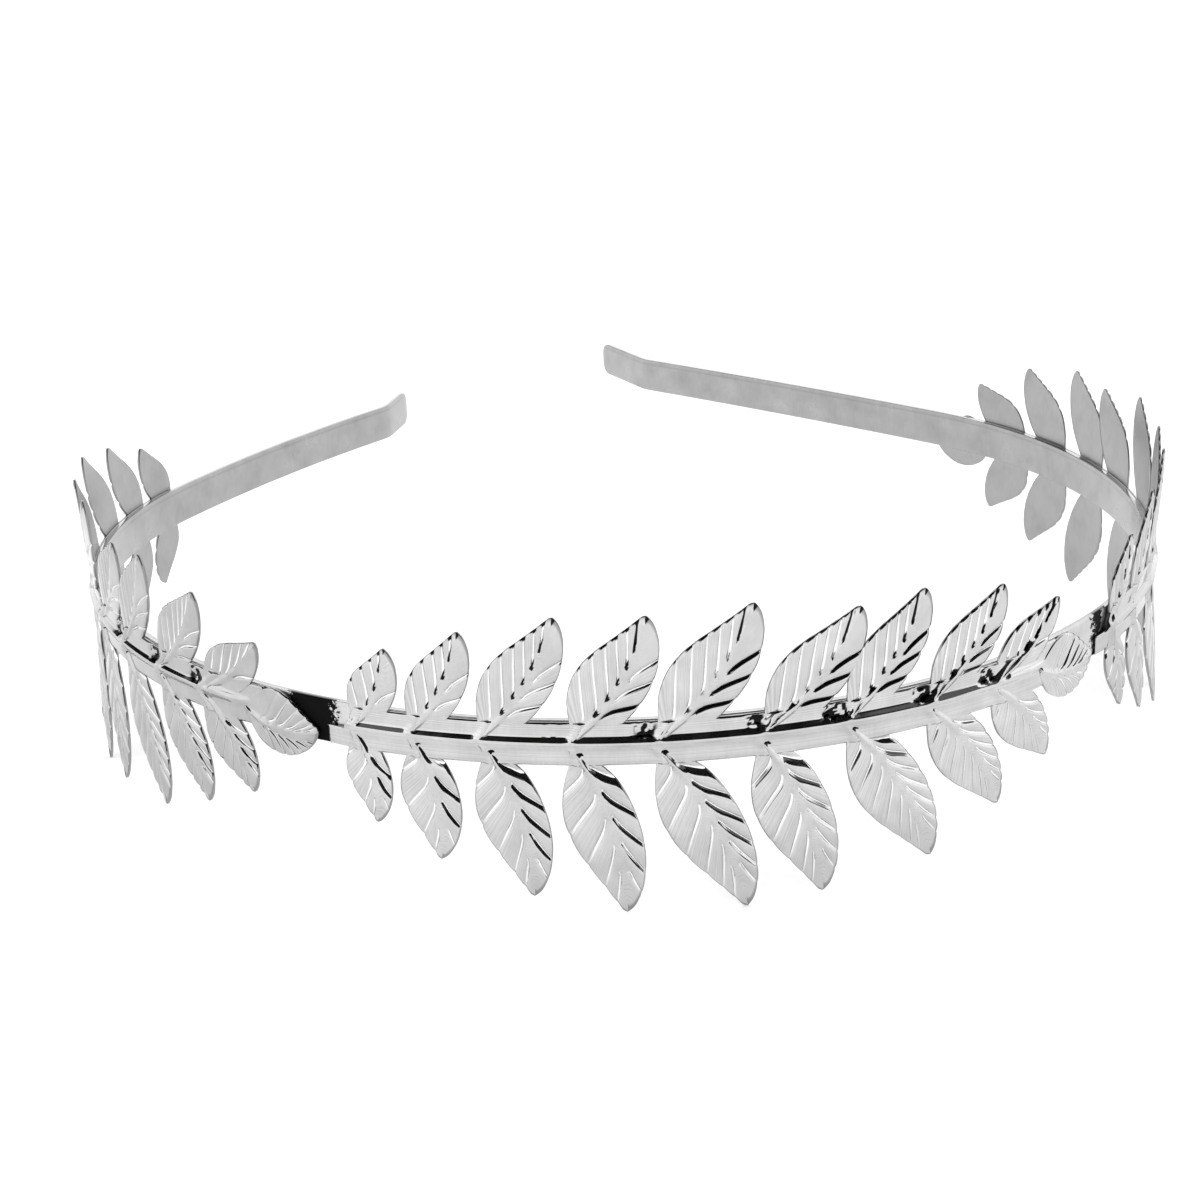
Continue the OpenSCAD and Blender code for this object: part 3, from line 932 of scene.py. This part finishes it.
studio = {
    "floorSize": 0.4,
    "floorSegments": 96,
    "floorColour": (0.96, 0.96, 0.96, 1),
    "floorRoughness": 0.9,
    "skyStrength": 1.4,
    "mirrorSky": 1.55,  # what the metal mirrors above the floor
    "darkValue": 0.004,
    "darkLeft": -15.0,  # a dark room in front, with the camera in it, which the metal mirrors
    "darkRight": 66.0,
    "darkBottom": 3.0,
    "darkTop": 84.0,
    "darkSoft": 3.0,
    # above this line the room is dark all round: azimuth from the camera's side, and height
    "ceilingLine": [(-180, 60), (-152, 60), (-142, 12), (-112, 12), (-100, 40), (-75, 40),
                    (-15, 18), (60, 15), (95, 28), (105, 90)],
    "lightTarget": (0, 0, 0.02),
    "lightPower": 0.25,
    "lights": {  # place and size
        "leftSoftbox": ((-0.75, -0.15, 0.45), (0.7, 0.7)),
        "rightSoftbox": ((0.75, -0.15, 0.45), (0.7, 0.7)),
        "topSoftbox": ((0, 0.25, 0.95), (0.9, 0.7)),
    },
}
photoView = {
    "fromFront": Vector((-1.1552, -260.7898, 117.6127)),  # from the middle of the strip's front
    "yaw": -0.768,
    "pitch": 20.741,
    "roll": -2.652,
    "lens": 68.8,
    "clipStart": 0.01,
}


def makeFloor():
    bm = bmesh.new()
    bmesh.ops.create_circle(bm, cap_ends=True, segments=studio["floorSegments"],
                            radius=studio["floorSize"])
    mesh = bpy.data.meshes.new("studioFloor")
    bm.to_mesh(mesh)
    bm.free()
    floor = bpy.data.objects.new("studioFloor", mesh)
    bpy.context.scene.collection.objects.link(floor)
    material, _, shader = newMaterial("paleFloor")
    shader.inputs["Base Color"].default_value = studio["floorColour"]
    shader.inputs["Roughness"].default_value = studio["floorRoughness"]
    shader.inputs["Specular IOR Level"].default_value = 0.0
    mesh.materials.append(material)


def makeWorld():
    # plain white all round; the metal alone mirrors a studio with a dark room in front
    world = bpy.data.worlds.new("paleStudio")
    bpy.context.scene.world = world
    world.use_nodes = True
    tree = world.node_tree
    nodes, links = tree.nodes, tree.links
    nodes.clear()
    parts = nodes.new("ShaderNodeSeparateXYZ")
    links.new(nodes.new("ShaderNodeTexCoord").outputs["Generated"], parts.inputs["Vector"])
    forward = calculate(tree, "MULTIPLY", parts.outputs["Y"], -1)
    turn = calculate(tree, "ARCTAN2", parts.outputs["X"], forward)
    rise = calculate(tree, "ARCSINE", parts.outputs["Z"])
    left, right, low, high, soft = (
        math.radians(studio["dark" + key]) for key in ("Left", "Right", "Bottom", "Top", "Soft"))
    room = calculate(tree, "MULTIPLY", rangeOf(tree, turn, left - soft, left + soft),
                     rangeOf(tree, turn, right + soft, right - soft))
    room = calculate(tree, "MULTIPLY", room, rangeOf(tree, rise, low - soft / 2, low + soft / 2))
    line = nodes.new("ShaderNodeValToRGB")
    for i, (side, edge) in enumerate(studio["ceilingLine"]):
        stop = line.color_ramp.elements[i] if i < 2 else line.color_ramp.elements.new(1.0)
        stop.position = (side + 180) / 360
        stop.color = (edge / 90,) * 3 + (1,)
    links.new(rangeOf(tree, turn, -math.pi, math.pi, kind="LINEAR"), line.inputs["Fac"])
    above = calculate(tree, "MULTIPLY_ADD", line.outputs["Color"], -math.pi / 2, rise)
    dark = calculate(tree, "MAXIMUM", room, rangeOf(tree, above, -soft, soft))
    dark = calculate(tree, "MULTIPLY", dark, rangeOf(tree, rise, high + soft, high - soft))
    mirrored = rangeOf(tree, dark, 0.0, 1.0, studio["mirrorSky"] / studio["skyStrength"],
                       studio["darkValue"], kind="LINEAR")
    seen = nodes.new("ShaderNodeMix")
    seen.data_type = "FLOAT"
    links.new(nodes.new("ShaderNodeLightPath").outputs["Is Glossy Ray"], seen.inputs["Factor"])
    seen.inputs["A"].default_value = 1.0
    links.new(mirrored, seen.inputs["B"])
    background = nodes.new("ShaderNodeBackground")
    background.inputs["Strength"].default_value = studio["skyStrength"]
    links.new(seen.outputs["Result"], background.inputs["Color"])
    output = nodes.new("ShaderNodeOutputWorld")
    links.new(background.outputs["Background"], output.inputs["Surface"])


def makeLights():
    for name, (place, size) in studio["lights"].items():
        light = bpy.data.lights.new(name, "AREA")
        light.shape = "RECTANGLE"
        light.size, light.size_y = size
        light.energy = studio["lightPower"]
        holder = bpy.data.objects.new(name, light)
        holder.location = place
        aim = Vector(studio["lightTarget"]) - Vector(place)
        holder.rotation_euler = aim.to_track_quat("-Z", "Y").to_euler()
        bpy.context.scene.collection.objects.link(holder)


def makeCamera():
    camera = bpy.data.cameras.new("photoCamera")
    camera.lens = photoView["lens"]
    camera.clip_start = photoView["clipStart"]
    holder = bpy.data.objects.new("photoCamera", camera)
    holder.location = origin + mm * photoView["fromFront"]
    turn = (Matrix.Rotation(math.radians(-photoView["yaw"]), 3, "Z")
            @ Matrix.Rotation(math.radians(90 - photoView["pitch"]), 3, "X")
            @ Matrix.Rotation(math.radians(photoView["roll"]), 3, "Z"))
    holder.rotation_euler = turn.to_euler()
    bpy.context.scene.collection.objects.link(holder)
    bpy.context.scene.camera = holder


makeCamera()
makeFloor()
makeWorld()
makeLights()
bpy.context.scene.view_settings.view_transform = "Standard"
print("studio made")

makeWear()
makeStrip(stripMetal())
makeSprigs(leafMetal())
